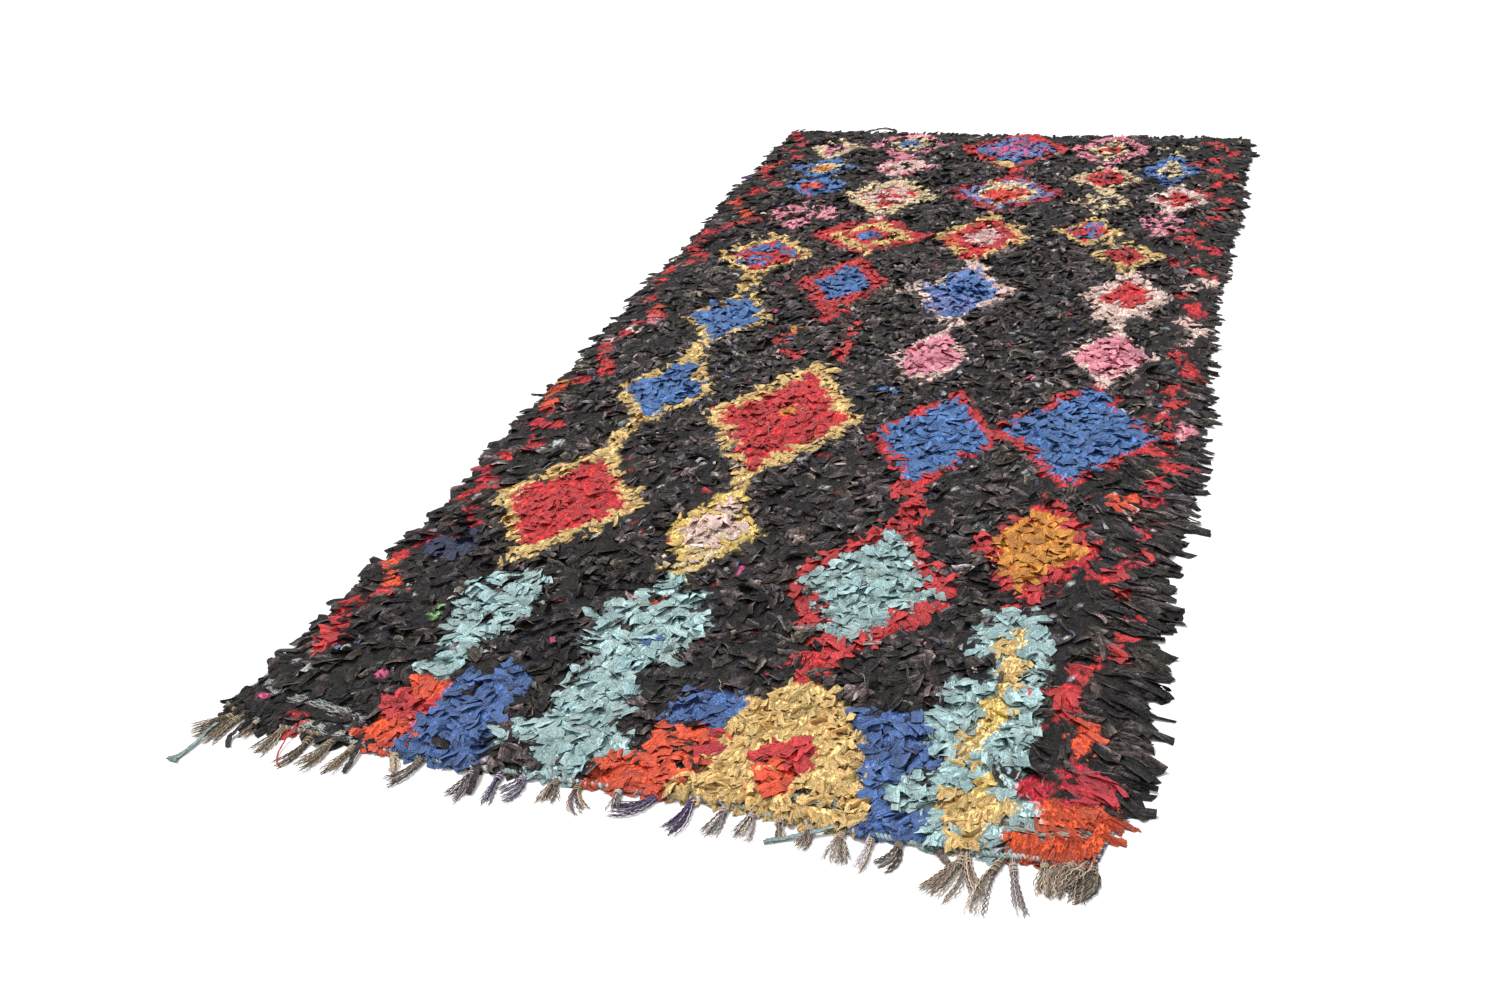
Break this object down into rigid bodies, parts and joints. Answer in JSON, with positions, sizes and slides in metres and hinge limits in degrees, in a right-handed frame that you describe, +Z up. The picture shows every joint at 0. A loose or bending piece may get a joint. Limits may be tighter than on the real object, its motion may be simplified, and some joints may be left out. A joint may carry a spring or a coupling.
{
  "type": "boucherouite rug",
  "caption": "Long flat rag rug with a shaggy pile of knotted cloth strips, lozenge columns on a dark field, a zigzag border, and knotted warp ends at its front end.",
  "frame": {"origin": "centre of the footprint, fringe included, on the floor that the rug lies on", "axes": "+Z up, +Y along the rug from its fringed front end to its back end, +X across it"},
  "size_m": [1.5424, 3.5384, 0.0344],
  "materials": {
    "rag_pile": "cut cotton and jersey rag strips, dark grey with coloured lozenges",
    "warp_yarn": "undyed and dyed wool yarn, knotted",
    "loose_rag": "dark grey cotton rag"
  },
  "bodies": {
    "root": {"rug_body": "rag_pile", "warp_fringe": "warp_yarn", "loose_end": "loose_rag"}
  },
  "joints": []
}
